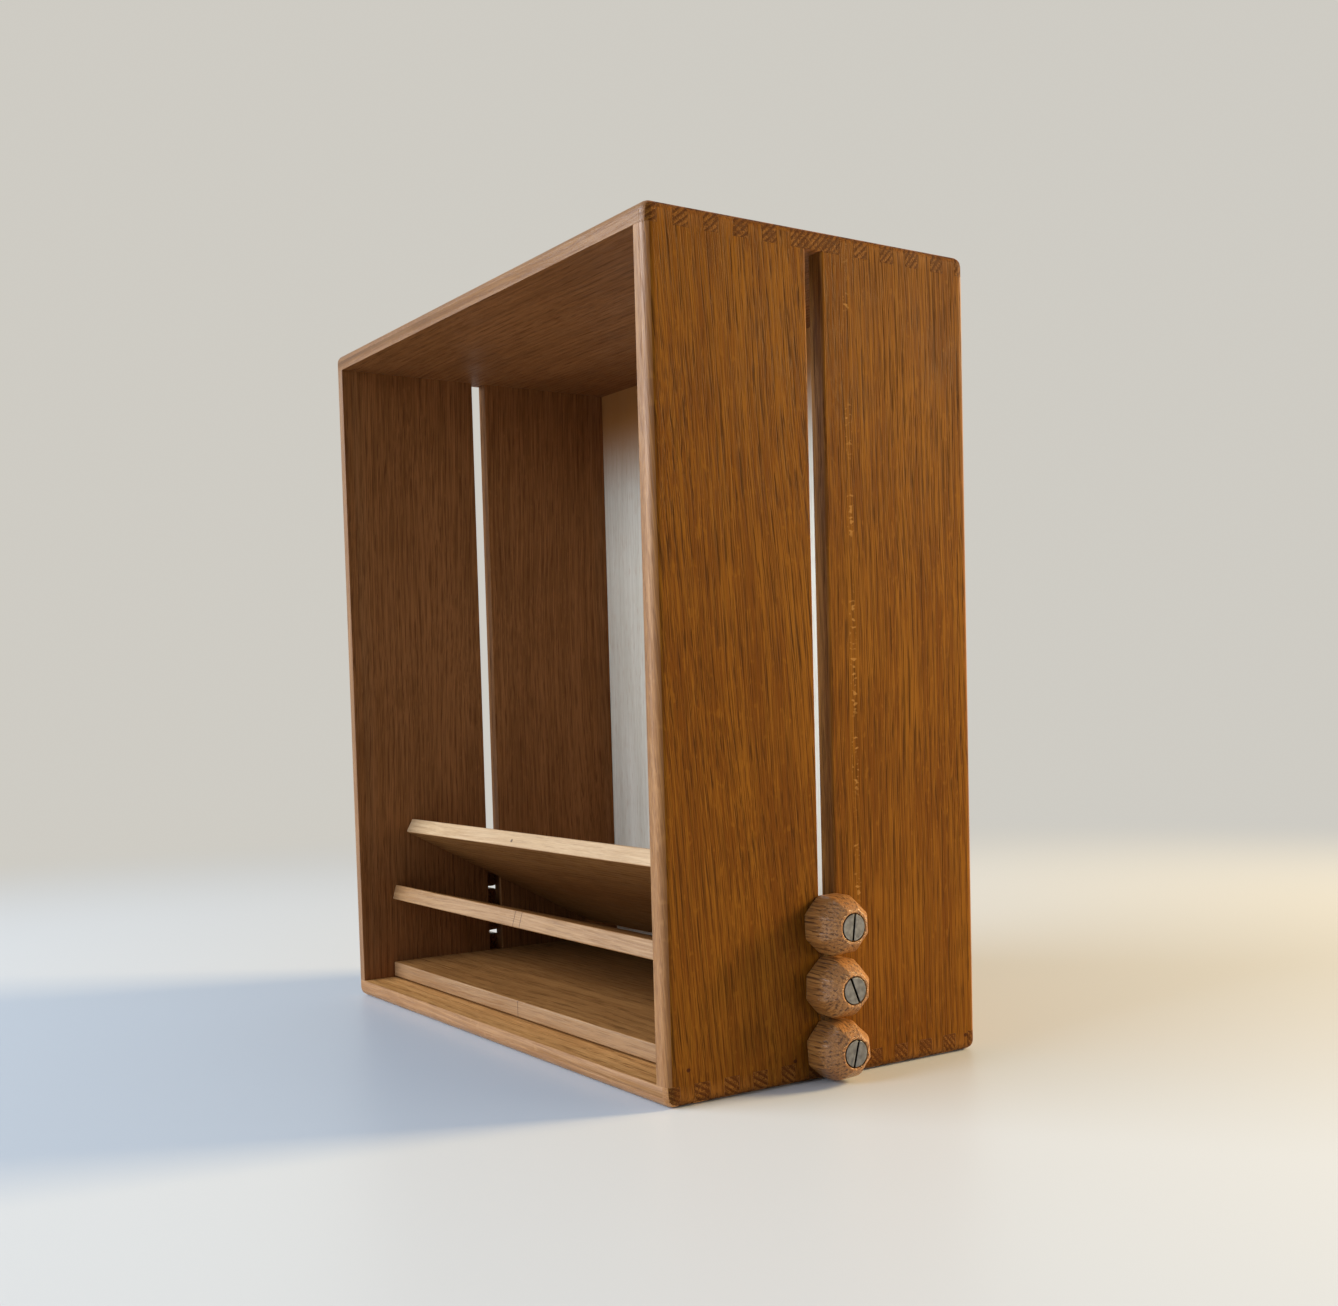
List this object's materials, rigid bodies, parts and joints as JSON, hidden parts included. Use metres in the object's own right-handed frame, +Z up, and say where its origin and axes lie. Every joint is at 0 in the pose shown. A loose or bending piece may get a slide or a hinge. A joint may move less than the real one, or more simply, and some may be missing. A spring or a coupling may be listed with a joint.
{
  "type": "document organizer",
  "caption": "Upright open-fronted oak box for papers, with finger jointed corners and leaning shelves that slide and tilt in side slots and are clamped by faceted wooden knobs.",
  "frame": {"origin": "middle of the underside, where the box stands", "axes": "+X to the right as seen from the open front, +Y to the back, +Z up"},
  "size_m": [0.3772, 0.172, 0.368],
  "materials": {
    "oak_board": "satin lacquered oak, golden brown",
    "pale_panel": "thin plywood with a pale satin face",
    "oak_shelf": "satin lacquered oak, paler",
    "oak_knob": "hand cut oak facets, lacquered",
    "steel_screw": "worn bright steel",
    "steel_pin": "dull steel",
    "brass_fitting": "turned brass"
  },
  "bodies": {
    "frame": {"top_board": "oak_board", "bottom_board": "oak_board", "left_front_board": "oak_board", "left_rear_board": "oak_board", "right_front_board": "oak_board", "right_rear_board": "oak_board", "back_panel": "pale_panel", "panel_pins": "steel_pin"},
    "lower_shelf": {"lower_shelf": "oak_shelf", "lower_left_insert": "brass_fitting", "lower_right_insert": "brass_fitting", "lower_left_bush": "brass_fitting", "lower_right_bush": "brass_fitting"},
    "middle_carriage": {"middle_left_bush": "brass_fitting", "middle_right_bush": "brass_fitting"},
    "middle_shelf": {"middle_shelf": "oak_shelf", "middle_left_insert": "brass_fitting", "middle_right_insert": "brass_fitting"},
    "upper_carriage": {"upper_left_bush": "brass_fitting", "upper_right_bush": "brass_fitting"},
    "upper_shelf": {"upper_shelf": "oak_shelf", "upper_left_insert": "brass_fitting", "upper_right_insert": "brass_fitting"},
    "lower_left_knob": {"lower_left_knob": "oak_knob", "lower_left_screw": "steel_screw"},
    "lower_right_knob": {"lower_right_knob": "oak_knob", "lower_right_screw": "steel_screw"},
    "middle_left_knob": {"middle_left_knob": "oak_knob", "middle_left_screw": "steel_screw"},
    "middle_right_knob": {"middle_right_knob": "oak_knob", "middle_right_screw": "steel_screw"},
    "upper_left_knob": {"upper_left_knob": "oak_knob", "upper_left_screw": "steel_screw"},
    "upper_right_knob": {"upper_right_knob": "oak_knob", "upper_right_screw": "steel_screw"}
  },
  "joints": [
    {"name": "lower_slide", "type": "slide", "parent": "frame", "child": "lower_shelf", "axis": [0, 0, 1], "range_m": [0, 0.083]},
    {"name": "middle_slide", "type": "slide", "parent": "lower_shelf", "child": "middle_carriage", "axis": [0, 0, 1], "range_m": [0, 0.083]},
    {"name": "upper_slide", "type": "slide", "parent": "middle_carriage", "child": "upper_carriage", "axis": [0, 0, 1], "range_m": [0, 0.083]},
    {"name": "upper_tilt", "type": "hinge", "parent": "upper_carriage", "child": "upper_shelf", "pos_m": [0, -0.0015, 0.06865], "axis": [-1, 0, 0], "range_deg": [-56.6, 0]},
    {"name": "middle_tilt", "type": "hinge", "parent": "middle_carriage", "child": "middle_shelf", "pos_m": [0, -0.0015, 0.04125], "axis": [-1, 0, 0], "range_deg": [-31.02, 0]},
    {"name": "lower_left_knob_turn", "type": "hinge", "parent": "lower_shelf", "child": "lower_left_knob", "pos_m": [-0.18, -0.0015, 0.01385], "axis": [-1, 0, 0], "range_deg": [0, 270]},
    {"name": "lower_right_knob_turn", "type": "hinge", "parent": "lower_shelf", "child": "lower_right_knob", "pos_m": [0.18, -0.0015, 0.01385], "axis": [1, 0, 0], "range_deg": [0, 270]},
    {"name": "middle_left_knob_turn", "type": "hinge", "parent": "middle_carriage", "child": "middle_left_knob", "pos_m": [-0.18, -0.0015, 0.04125], "axis": [-1, 0, 0], "range_deg": [0, 270]},
    {"name": "middle_right_knob_turn", "type": "hinge", "parent": "middle_carriage", "child": "middle_right_knob", "pos_m": [0.18, -0.0015, 0.04125], "axis": [1, 0, 0], "range_deg": [0, 270]},
    {"name": "upper_left_knob_turn", "type": "hinge", "parent": "upper_carriage", "child": "upper_left_knob", "pos_m": [-0.18, -0.0015, 0.06865], "axis": [-1, 0, 0], "range_deg": [0, 270]},
    {"name": "upper_right_knob_turn", "type": "hinge", "parent": "upper_carriage", "child": "upper_right_knob", "pos_m": [0.18, -0.0015, 0.06865], "axis": [1, 0, 0], "range_deg": [0, 270]}
  ],
  "couplings": [
    {"joint": "middle_tilt", "follows": "upper_tilt", "ratio": 0.548}
  ]
}
